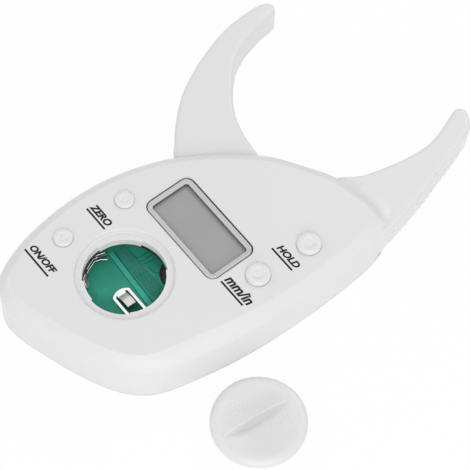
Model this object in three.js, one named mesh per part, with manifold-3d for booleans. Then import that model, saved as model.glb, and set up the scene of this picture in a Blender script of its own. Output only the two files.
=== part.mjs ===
// Digital skinfold caliper: a shield-shaped housing with a fixed jaw, and a jaw that turns in its slot.
// Units are millimetres, +Z is up, +Y points to the jaws, and the origin lies under the display's centre.
import * as THREE from "three";
import Module from "manifold-3d";
import { mergeVertices } from "three/addons/utils/BufferGeometryUtils.js";

const wasm = await Module();
wasm.setup();

// Housing
const bodyWidth = 56.8;
const bodyLength = 88.4;
const bodyHeight = 16;
const wall = 2;
const topThickness = 2;
const backThickness = 1.8;
const seam = 0.2;
const seamHeight = 1.1;
const edgeRun = 3;
const edgeDrop = 3.1;
const edgeStart = 20;
const edgeEnd = 65;
const edgeSwellShare = 0.38;
const flankReach = 17;
const footRound = 0.8;
const sillHeight = 1.3;
const lipHeight = 1.1;
const lipThickness = 1;
const lipGap = 0.15;

// Jaws and what turns on the pivot
const jawBottom = 3.4;
const jawHeadroom = 0.8;
const jawTopRound = 1.3;
const jawFootRound = 0.8;
const fixedJawWidth = 20.9;
const fixedJawReach = 40.1;
const movingJawWidth = 37.2;
const movingJawReach = 48.6;
const ribPitch = 2;
const ribRadius = 0.8;
const ribDepth = 0.3;
const ribRun = 33;
const ribStart = 8;
const ribHeight = 5.6;
const closingAngle = 49.5;
const slotGap = 0.35;
const runningGap = 0.08;
const journalRadius = 3;
const collarRadius = 4.4;
const hubRadius = 7.6;
const bladeThickness = 1.8;
const bladeOverlap = 1.5;
const scaleThickness = 0.8;
const scaleInner = 8.6;
const scaleOuter = 15;
const scaleMargin = 3;
const pocketRadius = 17.6;
const pocketWall = 1;

// Display
const displayWidthShare = 0.4683;
const displayHeight = 13.6;
const windowRim = 1.25;
const displayCorner = 2;
const windowCorner = 0.8;
const bezelRise = 0.4;
const bezelGap = 0.4;
const bezelRound = 0.35;
const bezelFlange = 0.7;
const flangeThickness = 0.6;
const displaySink = 1.2;
const panelThickness = 1.7;
const panelOverlap = 0.6;
const stripThickness = 1.6;

// Battery seat and its cap
const batteryHoleShare = 0.1775;
const seatStep = 2.02;
const seatDepth = 1.2;
const seatSoftening = 0.8;
const seatWall = 1.3;
const seatLip = 2.3;
const notchDepth = 0.42;
const notchSpan = 59;
const notchTurns = [91, 210, 300];
const capInset = 0.25;
const capThickness = 2.2;
const capEdgeRun = 1.7;
const capEdgeDrop = 1.3;
const capTurn = -6.1;
const capSkirt = 1;
const capCeiling = 1.2;
const capLug = 0.6;
const capGap = 0.2;
const capDistance = 46.5;
const capForward = 4.67;
const dishDepth = 1.9;
const dishRim = 0.3;
const ridgeWidth = 1.2;
const ridgeFlare = 0.35;
const ridgeRise = 1.5;
const ridgeShift = 0.9;
const ridgeShares = [1, 0.84, 0.64, 0.4, 0.15];

// Board, buttons and contacts
const boardTop = 7.9;
const boardThickness = 1.2;
const boardGap = 0.6;
const boardNotch = 5.1;
const seatGap = 0.05;
const smallButton = 2.45;
const largeButton = 3.1;
const smallRise = 0.75;
const largeRise = 1.2;
const buttonGap = 0.1;
const buttonFlange = 0.8;
const buttonDomeShare = 0.667;
const buttonTravel = 0.5;
const switchSize = 6;
const switchHeightShare = 0.648;
const plungerRadius = 1.5;
const chipRadius = 3.5;
const chipHeight = 1.3;
const contactThickness = 0.4;
const contactStrip = 0.7;
const contactWidth = 5;
const contactLength = 12.5;
const contactAsideShare = 0.35;
const contactBend = 3.4;
const tongueLength = 5.2;
const tongueBendShares = [0.24, 0.6];
const tongueRise = 0.9;
const tongueWidthShare = 0.48;
const clipHeightShare = 0.7;
const clipThickness = 0.35;
const clipLevelShares = [0.22, 0.42, 0.72];
const clipStem = 5.2;
const clipFoot = 1.8;
const clipBends = [
  [-9.2, 1.1],
  [-10.7, -2.1],
  [-9.2, -5.5],
  [-6.2, -7.9],
];

// Fasteners
const bossRadius = 2.8;
const boardBossRadius = 2.2;
const screwShank = 0.95;
const screwHead = 1.9;
const screwHeadHeight = 0.85;
const screwRecess = 0.1;
const screwReach = 7;
const boardScrewReach = 4;
const pivotScrewReach = 3.6;
const holeGap = 0.15;
const washerThickness = 0.3;
const supportRadius = 1.6;

// Fineness, weld and overrun
const bodySteps = 3;
const fixedJawSteps = 3;
const movingJawSteps = 2;
const roundSteps = 24;
const fineSteps = 36;
const smallSteps = 12;
const edgeSteps = 3;
const footSteps = 2;
const domeSteps = 4;
const ribSteps = 8;
const weld = 1e-4;
const overrun = 1;

// Finishes
const shellWhite = new THREE.MeshStandardMaterial({ color: 0xe6e7e8, roughness: 0.28, metalness: 0 });
const bezelGrey = new THREE.MeshStandardMaterial({ color: 0xcfd0d1, roughness: 0.35, metalness: 0 });
const displayGrey = new THREE.MeshStandardMaterial({ color: 0xa2a3a2, roughness: 0.45, metalness: 0 });
const boardGreen = new THREE.MeshStandardMaterial({ color: 0x2f8c70, roughness: 0.45, metalness: 0 });
const brightMetal = new THREE.MeshStandardMaterial({ color: 0xe3e1de, roughness: 0.25, metalness: 1 });
const screwSteel = new THREE.MeshStandardMaterial({ color: 0xb4b5b8, roughness: 0.35, metalness: 1 });
const zebraPink = new THREE.MeshStandardMaterial({ color: 0xd8a7ad, roughness: 0.7, metalness: 0 });
const blackResin = new THREE.MeshStandardMaterial({ color: 0x161616, roughness: 0.4, metalness: 0 });

// Solids, joins and cuts
function toSolid(geometry) {
  const bare = geometry.clone();
  bare.deleteAttribute("normal");
  bare.deleteAttribute("uv");
  const merged = mergeVertices(bare, weld);
  const corners = merged.index.array;
  const whole = [];
  for (let i = 0; i < corners.length; i += 3) {
    const [a, b, c] = corners.slice(i, i + 3);
    if (a !== b && b !== c && c !== a) {
      whole.push(a, b, c);
    }
  }
  const vertProperties = merged.attributes.position.array;
  return new wasm.Manifold(new wasm.Mesh({ numProp: 3, vertProperties, triVerts: new Uint32Array(whole) }));
}

function toGeometry(solid) {
  const { vertProperties, triVerts } = solid.getMesh();
  const geometry = new THREE.BufferGeometry();
  geometry.setAttribute("position", new THREE.BufferAttribute(vertProperties, 3));
  geometry.setIndex(new THREE.BufferAttribute(triVerts, 1));
  geometry.computeVertexNormals();
  return geometry;
}

const join = (first, ...others) => others.reduce((whole, piece) => whole.add(piece), first);
const cut = (first, ...others) => others.reduce((whole, piece) => whole.subtract(piece), first);

// Outlines: lists of points that run anticlockwise
const radians = THREE.MathUtils.degToRad;
const at = (x, y) => new THREE.Vector2(x, y);
const polar = (centre, radius, angle) =>
  at(centre.x + radius * Math.cos(radians(angle)), centre.y + radius * Math.sin(radians(angle)));

function closedPath(points) {
  const knots = points.map((point) => new THREE.Vector3(point.x, point.y, 0));
  return new THREE.CatmullRomCurve3(knots, true, "centripetal");
}

function stepped(path, steps) {
  const points = path.getPoints(path.points.length * steps).slice(0, -1);
  return points.map((point) => at(point.x, point.y));
}

function ellipse(centre, width, length, steps = ribSteps) {
  return Array.from({ length: 2 * steps }, (_, i) => {
    const turn = (Math.PI * i) / steps;
    return at(centre.x + (width / 2) * Math.cos(turn), centre.y + (length / 2) * Math.sin(turn));
  });
}

function rectangle(centre, width, height, corner = 0, steps = 5) {
  const x = width / 2 - corner;
  const y = height / 2 - corner;
  const count = corner > 0 ? steps : 0;
  return [at(x, y), at(-x, y), at(-x, -y), at(x, -y)].flatMap((turning, quarter) =>
    Array.from({ length: count + 1 }, (_, i) =>
      polar(turning.clone().add(centre), corner, 90 * quarter + (90 * i) / Math.max(count, 1)),
    ),
  );
}

function sector(centre, inner, outer, start, end, steps = smallSteps) {
  const sweep = (radius, from, to) =>
    Array.from({ length: steps + 1 }, (_, i) => polar(centre, radius, from + ((to - from) * i) / steps));
  return [...sweep(outer, start, end), ...sweep(inner, end, start)];
}

const turned = (outline, centre, angle) =>
  outline.map((point) => point.clone().rotateAround(centre, radians(angle)));

// Draws an outline in by a distance, and by more where the swell is over 1.
function inset(outline, distance, swell = () => 1) {
  const count = outline.length;
  return outline.map((point, i) => {
    const before = outline[(i + count - 1) % count];
    const after = outline[(i + 1) % count];
    const inwards = at(before.y - after.y, after.x - before.x).normalize();
    return point.clone().addScaledVector(inwards, distance * swell(point));
  });
}

// Shapes: lofts through outlines at their heights, prisms, posts and turned pieces
function loft(levels) {
  const count = levels[0].outline.length;
  const top = (levels.length - 1) * count;
  const index = [];
  for (let start = 0; start < top; start += count) {
    for (let i = 0; i < count; i += 1) {
      const low = start + i;
      const next = start + ((i + 1) % count);
      index.push(low, next, next + count, low, next + count, low + count);
    }
  }
  for (const [a, b, c] of THREE.ShapeUtils.triangulateShape(levels[0].outline, [])) {
    index.push(c, b, a);
  }
  for (const [a, b, c] of THREE.ShapeUtils.triangulateShape(levels.at(-1).outline, [])) {
    index.push(top + a, top + b, top + c);
  }
  const positions = levels.flatMap(({ outline, z }) => outline.flatMap((point) => [point.x, point.y, z]));
  const geometry = new THREE.BufferGeometry();
  geometry.setAttribute("position", new THREE.Float32BufferAttribute(positions, 3));
  geometry.setIndex(index);
  return toSolid(geometry);
}

function slab(outline, bottom, top) {
  return loft([
    { outline, z: bottom },
    { outline, z: top },
  ]);
}

function post(centre, radius, bottom, top, steps = roundSteps) {
  const cylinder = new THREE.CylinderGeometry(radius, radius, top - bottom, steps);
  cylinder.rotateX(Math.PI / 2);
  cylinder.translate(centre.x, centre.y, (top + bottom) / 2);
  return toSolid(cylinder);
}

// Turns a profile of points (radius, height) about an upright axis.
function revolve(centre, profile, steps = roundSteps) {
  const lathe = new THREE.LatheGeometry(profile, steps);
  lathe.rotateX(Math.PI / 2);
  lathe.translate(centre.x, centre.y, 0);
  return toSolid(lathe);
}

// Sweeps a profile of points (x, z) across a width in Y.
function across(profile, middle, width) {
  const prism = new THREE.ExtrudeGeometry(new THREE.Shape(profile), { depth: width, bevelEnabled: false });
  prism.rotateX(Math.PI / 2);
  prism.translate(0, middle + width / 2, 0);
  return toSolid(prism);
}

function arc(centre, size, from, to, steps = 4) {
  return Array.from({ length: steps + 1 }, (_, i) => polar(centre, size, from + ((to - from) * i) / steps));
}

const quarterTurns = (steps) => Array.from({ length: steps + 1 }, (_, i) => radians((90 * i) / steps));

const roundedFoot = (outline, bottom, round) =>
  quarterTurns(footSteps).map((turn) => ({
    outline: inset(outline, round * (1 - Math.sin(turn))),
    z: bottom + round * (1 - Math.cos(turn)),
  }));

function roundedSlab(outline, bottom, top, bottomRound, topRound) {
  const crown = quarterTurns(edgeSteps).map((turn) => ({
    outline: inset(outline, topRound * (1 - Math.cos(turn))),
    z: top - topRound * (1 - Math.sin(turn)),
  }));
  return loft([...roundedFoot(outline, bottom, bottomRound), ...crown]);
}

const group = new THREE.Group();

function addPart(name, solid, material) {
  const mesh = new THREE.Mesh(toGeometry(solid), material);
  mesh.name = name;
  group.add(mesh);
}

// Sizes that follow the housing's width
const displayWidth = bodyWidth * displayWidthShare;
const batteryHole = bodyWidth * batteryHoleShare;
const seatRadius = batteryHole + seatStep;
const capRadius = seatRadius - capInset;

// Places on the housing, as shares of its width and length
const displayShares = [0.4794, 0.5566];
const fixedJawPlaceShares = [0.6112, 0.9559];
const movingJawPlaceShares = [1.312, 0.0122];
const spot = ([across, along]) =>
  at((across - displayShares[0]) * bodyWidth, (along - displayShares[1]) * bodyLength);
const display = spot(displayShares);
const pivot = spot([0.5569, 0.6584]);
const battery = spot([0.4593, 0.3072]);
const cap = battery.clone().add(at(capDistance, capForward));
const flank = spot([0.9133, 0.3323]);
const notch = spot([0.5428, 0.4559]);
const chip = spot([0.5675, 0.7071]);
const housingScrewShares = [
  [0.1709, 0.1015],
  [0.7525, 0.1814],
  [0.874, 0.9123],
  [0.1092, 0.543],
];
const boardScrewShares = [
  [0.3121, 0.1242],
  [0.8403, 0.3676],
  [0.7613, 0.8314],
];
const supportShares = [
  [0.3837, 0.352],
  [0.5602, 0.3027],
  [0.4033, 0.2238],
];
const housingScrews = housingScrewShares.map(spot);
const boardScrews = boardScrewShares.map(spot);
const supports = supportShares.map(spot);
const buttons = [
  { name: "on_off", centre: spot([0.159, 0.2398]), radius: smallButton, rise: smallRise },
  { name: "zero", centre: spot([0.1713, 0.4468]), radius: smallButton, rise: smallRise },
  { name: "unit", centre: spot([0.8157, 0.5916]), radius: largeButton, rise: largeRise },
  { name: "hold", centre: spot([0.8333, 0.7625]), radius: largeButton, rise: largeRise },
];

// Outlines from above: the housing in shares of its box, each jaw in shares of its own width and reach
const bodyShares = [
  [0.9935, 0.815],
  [0.978, 0.919],
  [0.94, 0.985],
  [0.862, 1.0],
  [0.742, 0.99],
  [0.618, 0.9695],
  [0.4945, 0.9235],
  [0.37, 0.87],
  [0.264, 0.797],
  [0.178, 0.722],
  [0.106, 0.646],
  [0.058, 0.57],
  [0.015, 0.461],
  [0.001, 0.34],
  [0.025, 0.192],
  [0.078, 0.086],
  [0.135, 0.03],
  [0.218, 0.003],
  [0.307, 0.005],
  [0.46, 0.032],
  [0.655, 0.078],
  [0.803, 0.132],
  [0.891, 0.2],
  [0.946, 0.324],
  [0.987, 0.484],
  [1.0, 0.686],
];
const fixedJawShares = [
  [0.968, -0.09],
  [0.975, -0.044],
  [0.974, 0.046],
  [0.917, 0.202],
  [0.817, 0.406],
  [0.663, 0.666],
  [0.551, 0.852],
  [0.475, 0.942],
  [0.36, 0.984],
  [0.29, 0.998],
  [0.226, 0.992],
  [0.176, 0.953],
  [0.196, 0.913],
  [0.287, 0.791],
  [0.349, 0.671],
  [0.356, 0.581],
  [0.322, 0.429],
  [0.265, 0.294],
  [0.185, 0.168],
  [0.057, 0.065],
  [0, 0.002],
  [0.04, -0.07],
  [0.215, -0.083],
  [0.55, -0.062],
  [0.8, -0.128],
  [0.91, -0.138],
];
const movingJawShares = [
  [0.632, 0],
  [0.8, 0.01],
  [0.9, 0.041],
  [0.975, 0.143],
  [1.008, 0.25],
  [1.01, 0.32],
  [0.975, 0.354],
  [0.9, 0.362],
  [0.81, 0.37],
  [0.708, 0.387],
  [0.607, 0.415],
  [0.526, 0.45],
  [0.408, 0.52],
  [0.259, 0.626],
  [0.178, 0.737],
  [0.151, 0.806],
  [0.127, 0.888],
  [0.114, 0.954],
  [0.1, 0.986],
  [0.066, 0.999],
  [0.032, 0.985],
  [0.006, 0.946],
  [0, 0.883],
  [0.008, 0.75],
  [0.043, 0.627],
  [0.121, 0.462],
  [0.186, 0.36],
  [0.247, 0.279],
  [0.335, 0.198],
  [0.43, 0.123],
  [0.523, 0.062],
];
const fit = (shares, corner, width, length) =>
  shares.map(([share, reach]) => at(corner.x + share * width, corner.y + reach * length));

const fixedJawPath = closedPath(
  fit(fixedJawShares, spot(fixedJawPlaceShares), fixedJawWidth, fixedJawReach),
);
const [outwardShare, backShare] = movingJawPlaceShares;
const movingJawCorner = pivot.clone().sub(at(outwardShare * movingJawWidth, backShare * movingJawReach));
const movingJawPath = closedPath(
  fit(movingJawShares, movingJawCorner, movingJawWidth, movingJawReach),
);
const bodyOutline = stepped(closedPath(fit(bodyShares, spot([0, 0]), bodyWidth, bodyLength)), bodySteps);
const fixedJawOutline = stepped(fixedJawPath, fixedJawSteps);
const movingJawOutline = stepped(movingJawPath, movingJawSteps);

// Heights that follow
const wallTop = bodyHeight - edgeDrop;
const wallFoot = seamHeight + seam;
const bossFoot = backThickness + seam;
const roof = bodyHeight - topThickness;
const jawTop = roof - jawHeadroom;
const bladeTop = jawBottom + bladeThickness;
const boardBottom = boardTop - boardThickness;
const onBoard = boardTop + seatGap;
const seatFloor = bodyHeight - seatDepth;
const lipBottom = seatFloor - seatLip;
const flangeTop = roof - seatGap;
const flangeBottom = flangeTop - flangeThickness;
const panelTop = bodyHeight + bezelRise - displaySink;
const panelBottom = panelTop - panelThickness;
const switchTop = onBoard + switchHeightShare * (flangeBottom - onBoard);
const plungerBottom = switchTop - 2 * buttonTravel;
const clipHeight = clipHeightShare * (lipBottom - onBoard);

// The slot spans what the root of the moving jaw sweeps, from open to closed.
const bearing = (point) =>
  (THREE.MathUtils.radToDeg(Math.atan2(point.y - pivot.y, point.x - pivot.x)) + 360) % 360;
const slotReach = pivot.distanceTo(movingJawOutline[0]);
const rootBearings = movingJawOutline
  .filter((point) => pivot.distanceTo(point) > pocketRadius && pivot.distanceTo(point) <= slotReach)
  .map(bearing);
const slotMargin = THREE.MathUtils.radToDeg(slotGap / pocketRadius);
const openBearing = Math.max(...rootBearings);
const shutBearing = Math.min(...rootBearings);
const slotEnd = openBearing + slotMargin;
const slotStart = shutBearing - closingAngle - slotMargin;
const pocketWallAngle = THREE.MathUtils.radToDeg(pocketWall / pocketRadius);

// Upper housing: the cover with its bevelled edge, the jaw pocket, the openings for display and battery
function coverShell() {
  const swell = (point) => 1 + edgeSwellShare * Math.exp(-((point.distanceTo(flank) / flankReach) ** 2));
  const [start, end] = [radians(edgeStart), radians(edgeEnd)];
  const edge = Array.from({ length: edgeSteps + 1 }, (_, i) => {
    const turn = start + ((end - start) * i) / edgeSteps;
    const run = (Math.cos(start) - Math.cos(turn)) / (Math.cos(start) - Math.cos(end));
    const drop = (Math.sin(turn) - Math.sin(start)) / (Math.sin(end) - Math.sin(start));
    return { outline: inset(bodyOutline, edgeRun * run, swell), z: wallTop + edgeDrop * drop };
  });
  return loft([{ outline: bodyOutline, z: wallFoot }, ...edge]);
}

function jawPocketWalls() {
  const low = bladeTop + slotGap;
  const inner = pocketRadius - pocketWall;
  const outer = bodyWidth;
  const block = sector(pivot, inner, outer, slotStart - pocketWallAngle, slotEnd + pocketWallAngle);
  const space = sector(pivot, pocketRadius, outer + overrun, slotStart, slotEnd);
  return cut(slab(block, low, roof + overrun), slab(space, low - overrun, roof + overrun + overrun));
}

function coverInside() {
  const inner = inset(bodyOutline, wall);
  const hollow = loft([
    { outline: inner, z: wallFoot - overrun },
    { outline: inner, z: roof - edgeRun / 2 },
    { outline: inset(bodyOutline, wall + edgeRun / 2), z: roof },
  ]);
  const bosses = housingScrews.map((centre) => post(centre, bossRadius, bossFoot, bodyHeight, smallSteps));
  const boardBosses = boardScrews.map((centre) =>
    post(centre, boardBossRadius, onBoard, bodyHeight, smallSteps),
  );
  const seat = post(battery, seatRadius + seatWall, lipBottom, bodyHeight, fineSteps);
  return cut(hollow, jawPocketWalls(), ...bosses, ...boardBosses, seat);
}

function jawSlot() {
  const sweep = sector(pivot, pocketRadius, bodyWidth, slotStart, slotEnd);
  return slab(sweep, wallFoot - overrun, jawTop + slotGap);
}

function fixedJaw() {
  const blade = roundedSlab(fixedJawOutline, jawBottom, jawTop, jawFootRound, jawTopRound);
  const length = fixedJawPath.getLength();
  const count = Math.floor(ribRun / ribPitch);
  const ribs = Array.from({ length: count }, (_, i) => {
    const share = (ribStart + i * ribPitch) / length;
    const point = fixedJawPath.getPointAt(share);
    const along = fixedJawPath.getTangentAt(share);
    const centre = at(point.x, point.y).addScaledVector(at(along.y, -along.x), ribDepth - ribRadius);
    return post(centre, ribRadius, jawBottom + jawFootRound, jawBottom + ribHeight, ribSteps);
  });
  return join(blade, ...ribs);
}

function seatCut() {
  const rim = seatRadius + seatSoftening;
  const edge = arc(at(rim, bodyHeight - seatSoftening), seatSoftening, 180, 90);
  const top = bodyHeight + overrun;
  return revolve(
    battery,
    [at(0, seatFloor), at(seatRadius, seatFloor), ...edge, at(rim, top), at(0, top)],
    fineSteps,
  );
}

function notches(radius, depth, span, centre, bottom, top, turn = 0) {
  return notchTurns.map((middle) => {
    const outline = sector(centre, radius - overrun, radius + depth, middle - span / 2, middle + span / 2);
    return slab(turned(outline, centre, turn), bottom, top);
  });
}

function upperHousing() {
  const opening = rectangle(
    display,
    displayWidth + 2 * bezelGap,
    displayHeight + 2 * bezelGap,
    displayCorner + bezelGap,
  );
  const shell = join(cut(coverShell(), coverInside(), jawSlot()), fixedJaw());
  return cut(
    shell,
    slab(opening, lipBottom, bodyHeight + overrun),
    seatCut(),
    post(battery, batteryHole, lipBottom - overrun, bodyHeight, fineSteps),
    ...notches(batteryHole, notchDepth, notchSpan, battery, lipBottom - overrun, bodyHeight),
    ...buttons.map(({ centre, radius }) =>
      post(centre, radius + buttonGap, roof - overrun, bodyHeight + overrun),
    ),
    ...housingScrews.map((centre) =>
      post(centre, screwShank + holeGap, wallFoot - overrun, backThickness + screwReach, smallSteps),
    ),
    ...boardScrews.map((centre) =>
      post(centre, screwShank + holeGap, boardTop, boardTop + boardScrewReach, smallSteps),
    ),
  );
}

// Lower housing: the back plate with its rounded foot, the sill under the jaw, the lip and the journal
function lowerHousing() {
  const plate = join(
    loft([...roundedFoot(bodyOutline, 0, footRound), { outline: bodyOutline, z: seamHeight }]),
    slab(inset(bodyOutline, wall + lipGap), footRound, backThickness),
  );
  const inner = inset(bodyOutline, wall);
  const ring = cut(
    slab(bodyOutline, footRound, backThickness + sillHeight),
    slab(inner, 0, backThickness + sillHeight + overrun),
  );
  const sweep = sector(pivot, pocketRadius, bodyWidth, slotStart + slotMargin, slotEnd - slotMargin);
  const sill = ring.intersect(slab(sweep, footRound, backThickness + sillHeight + overrun));
  const lip = cut(
    slab(inset(bodyOutline, wall + lipGap), footRound, backThickness + lipHeight),
    slab(inset(bodyOutline, wall + lipGap + lipThickness), 0, backThickness + lipHeight + overrun),
    ...housingScrews.map((centre) =>
      post(centre, bossRadius + lipGap, backThickness, backThickness + lipHeight + overrun, smallSteps),
    ),
  );
  const collar = post(pivot, collarRadius, footRound, jawBottom - runningGap);
  const journal = post(pivot, journalRadius, footRound, bladeTop + runningGap);
  const rests = supports.map((centre) =>
    post(centre, supportRadius, footRound, boardBottom - seatGap, smallSteps),
  );
  return cut(
    join(plate, sill, lip, collar, journal, ...rests),
    post(pivot, screwShank + holeGap, backThickness, jawTop, smallSteps),
    ...housingScrews.flatMap((centre) => [
      post(centre, screwShank + holeGap + holeGap, 0 - overrun, backThickness + overrun, smallSteps),
      post(centre, screwHead + holeGap, 0 - overrun, screwRecess + screwHeadHeight + holeGap, smallSteps),
    ]),
  );
}

// Moving jaw: the curved arm on a thin blade that runs under the board to the hub
function movingJaw() {
  const arm = cut(
    roundedSlab(movingJawOutline, jawBottom, jawTop, jawFootRound, jawTopRound),
    post(pivot, pocketRadius + slotGap, bladeTop, bodyHeight, fineSteps),
  );
  const bore = journalRadius + runningGap;
  const blade = sector(pivot, bore, pocketRadius + bladeOverlap, shutBearing, openBearing);
  return cut(
    join(arm, slab(blade, jawBottom, bladeTop), post(pivot, hubRadius, jawBottom, bladeTop)),
    post(pivot, bore, jawBottom - overrun, bladeTop + overrun),
  );
}

function scalePlate() {
  const outline = sector(
    pivot,
    scaleInner,
    scaleOuter,
    shutBearing + scaleMargin,
    openBearing - scaleMargin,
  );
  return slab(outline, bladeTop + seatGap, bladeTop + seatGap + scaleThickness);
}

// Display: the bead-edged bezel, the panel behind it and the two strips that join it to the board
const windowWidth = displayWidth - 2 * windowRim;
const windowHeight = displayHeight - 2 * windowRim;

function bezel() {
  const frame = roundedSlab(
    rectangle(display, displayWidth, displayHeight, displayCorner),
    flangeBottom,
    bodyHeight + bezelRise,
    0,
    bezelRound,
  );
  const flange = rectangle(
    display,
    displayWidth + 2 * bezelFlange,
    displayHeight + 2 * bezelFlange,
    displayCorner + 2 * bezelFlange,
  );
  const opening = rectangle(display, windowWidth, windowHeight, windowCorner);
  const pocket = rectangle(
    display,
    windowWidth + 2 * (panelOverlap + seatGap),
    windowHeight + 2 * (panelOverlap + seatGap),
    windowCorner,
  );
  const top = bodyHeight + bezelRise;
  return cut(
    join(frame, slab(flange, flangeBottom, flangeTop)),
    loft([
      { outline: opening, z: flangeBottom },
      { outline: opening, z: top - bezelRound },
      { outline: inset(opening, -bezelRound / 2), z: top - bezelRound / 4 },
      { outline: inset(opening, -bezelRound), z: top + seatGap },
    ]),
    slab(pocket, flangeBottom - overrun, panelTop + seatGap),
  );
}

function displayPanel() {
  const outline = rectangle(
    display,
    windowWidth + 2 * panelOverlap,
    windowHeight + 2 * panelOverlap,
    windowCorner,
  );
  return slab(outline, panelBottom, panelTop);
}

function zebraStrip(side) {
  const middle = side * (windowHeight / 2 + panelOverlap - stripThickness);
  const outline = rectangle(at(display.x, display.y + middle), windowWidth, stripThickness);
  return slab(outline, onBoard, panelBottom - seatGap);
}

// Board and what sits on it
function board() {
  const outline = inset(bodyOutline, wall + boardGap);
  const low = boardBottom - overrun;
  const high = boardTop + overrun;
  const margin = pocketWallAngle + THREE.MathUtils.radToDeg(boardGap / pocketRadius);
  const pocket = sector(
    pivot,
    pocketRadius - pocketWall - boardGap,
    bodyWidth,
    slotStart - margin,
    slotEnd + margin,
  );
  return cut(
    slab(outline, boardBottom, boardTop),
    slab(pocket, low, high),
    slab(inset(fixedJawOutline, -boardGap), low, high),
    post(notch, boardNotch, low, high),
    ...housingScrews.map((centre) => post(centre, bossRadius + boardGap, low, high, smallSteps)),
    ...boardScrews.map((centre) => post(centre, screwShank + holeGap, low, high, smallSteps)),
  );
}

// A strip's outline: a shallow bend across its end, then straight sides
function bentEnd(left, right, middle, width, bend) {
  const half = THREE.MathUtils.radToDeg(Math.asin(width / 2 / bend));
  const end = arc(at(left + bend, middle), bend, 180 - half, 180 + half, smallSteps / 2);
  return [...end, at(right, middle - width / 2), at(right, middle + width / 2)];
}

function negativeContact() {
  const left = battery.x - contactStrip;
  const right = left + contactLength;
  const middle = battery.y - contactWidth * contactAsideShare;
  const top = onBoard + contactThickness;
  const outer = bentEnd(left, right, middle, contactWidth, contactBend);
  const inner = bentEnd(
    left + contactStrip,
    right + overrun,
    middle,
    contactWidth - 2 * contactStrip,
    contactBend - contactStrip,
  );
  const loop = cut(slab(outer, onBoard, top), slab(inner, onBoard - overrun, top + overrun));
  const root = left + contactStrip / 2;
  const [bend, crest] = tongueBendShares.map((share) => root + share * tongueLength);
  const tip = root + tongueLength;
  const raised = onBoard + tongueRise;
  const under = [at(root, onBoard), at(bend, onBoard), at(crest, raised), at(tip, raised)];
  const over = under.map((point) => at(point.x, point.y + contactThickness)).reverse();
  return join(loop, across([...under, ...over], middle, contactWidth * tongueWidthShare));
}

// A ribbon on edge along a line of bends
function ribbon(bends, thickness) {
  const side = (distance) =>
    bends.map((point, i) => {
      const before = bends[Math.max(i - 1, 0)];
      const after = bends[Math.min(i + 1, bends.length - 1)];
      const outwards = at(after.y - before.y, before.x - after.x).normalize();
      return point.clone().addScaledVector(outwards, distance);
    });
  return [...side(thickness / 2), ...side(-thickness / 2).reverse()];
}

// The bent band beside the cell: two sprung fingers on a stem with a foot on the board
function positiveContact() {
  const bends = clipBends.map(([x, y]) => battery.clone().add(at(x, y)));
  const [belowShare, slitStartShare, slitEndShare] = clipLevelShares;
  const level = (share) => onBoard + clipHeight * share;
  const fingers = rectangle(battery.clone().sub(at(seatRadius, 0)), seatRadius, 2 * clipStem);
  return join(
    cut(
      slab(ribbon(bends, clipThickness), onBoard, level(1)),
      slab(fingers, onBoard - overrun, level(belowShare)),
      slab(fingers, level(slitStartShare), level(slitEndShare)),
    ),
    slab(ribbon(bends.slice(-2), clipFoot), onBoard, onBoard + contactThickness),
  );
}

function chipBlob() {
  const dome = arc(at(0, 0), 1, 0, 90).map((point) =>
    at(point.x * chipRadius, onBoard + chipHeight * (point.y + 1) / 2),
  );
  return revolve(chip, [at(0, onBoard), at(chipRadius, onBoard), ...dome], smallSteps);
}

// Buttons: a domed cap held under the cover by its flange, a plunger and the switch on the board
function buttonCap({ centre, radius, rise }) {
  const side = bodyHeight + rise * (1 - buttonDomeShare);
  const dome = arc(at(0, 0), 1, 0, 90, domeSteps).map((point) =>
    at(point.x * radius, side + point.y * rise * buttonDomeShare),
  );
  return revolve(centre, [
    at(0, flangeBottom),
    at(radius + buttonFlange, flangeBottom),
    at(radius + buttonFlange, flangeTop),
    at(radius, flangeTop),
    ...dome,
  ]);
}

function switchPlunger({ centre }) {
  return post(centre, plungerRadius, plungerBottom, flangeBottom - seatGap, smallSteps);
}

function switchBody({ centre }) {
  return cut(
    slab(rectangle(centre, switchSize, switchSize), onBoard, switchTop),
    post(centre, plungerRadius + holeGap, plungerBottom - buttonTravel - holeGap, switchTop + overrun),
  );
}

// Battery cap, lying beside the housing on its skirt: a dished disc with an arched finger ridge
function capRidge(top, reach) {
  const centre = cap.clone().sub(at(ridgeShift, 0));
  const foot = ellipse(centre, ridgeWidth + 2 * ridgeFlare, 2 * reach);
  const crest = ridgeShares.map((share) => ({
    outline: turned(ellipse(centre, ridgeWidth * share, 2 * reach * share), centre, capTurn),
    z: top + ridgeRise * (1 - share ** 2),
  }));
  return loft([{ outline: turned(foot, centre, capTurn), z: top - dishDepth - seatGap }, ...crest]);
}

function capLugs(radius) {
  const span = notchSpan - 2 * THREE.MathUtils.radToDeg(capGap / radius);
  const core = post(cap, radius - capSkirt / 2, 0 - overrun, capLug + overrun);
  return notches(radius, notchDepth, span, cap, 0, capLug).map((lug) => cut(lug, core));
}

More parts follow.
